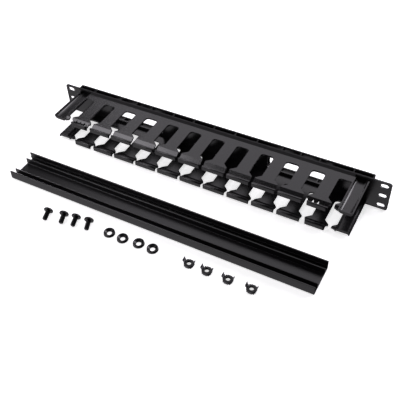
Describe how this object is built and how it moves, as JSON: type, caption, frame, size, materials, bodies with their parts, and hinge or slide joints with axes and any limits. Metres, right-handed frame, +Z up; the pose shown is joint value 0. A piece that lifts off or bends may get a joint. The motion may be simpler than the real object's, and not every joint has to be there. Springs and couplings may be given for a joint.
{
  "type": "horizontal cable manager",
  "caption": "Black rack-mount horizontal cable manager: an open duct of slotted fingers on an eared panel, with its clip-on cover and mounting hardware laid out beside it.",
  "frame": {"origin": "centre of the ears' hole pattern, on the rear face that lies on the rack rails", "axes": "+X along the panel to the right seen from the front, +Y to the back, into the rack, +Z up; the fingers point to -Y"},
  "size_m": [0.4826, 0.2143, 0.044],
  "materials": {
    "duct_plastic": "satin black moulded plastic with a fine grain",
    "cover_plastic": "satin black extruded plastic",
    "screw_steel": "black coated steel",
    "washer_plastic": "black moulded plastic",
    "cage_steel": "dark coated spring steel",
    "nut_steel": "black coated steel"
  },
  "bodies": {
    "root": {"finger_duct": "duct_plastic", "clip_on_cover": "cover_plastic", "screw_1": "screw_steel", "screw_2": "screw_steel", "screw_3": "screw_steel", "screw_4": "screw_steel", "cup_washer_1": "washer_plastic", "cup_washer_2": "washer_plastic", "cup_washer_3": "washer_plastic", "cup_washer_4": "washer_plastic", "nut_cage_1": "cage_steel", "nut_cage_2": "cage_steel", "nut_cage_3": "cage_steel", "nut_cage_4": "cage_steel", "square_nut_1": "nut_steel", "square_nut_2": "nut_steel", "square_nut_3": "nut_steel", "square_nut_4": "nut_steel"}
  },
  "joints": []
}
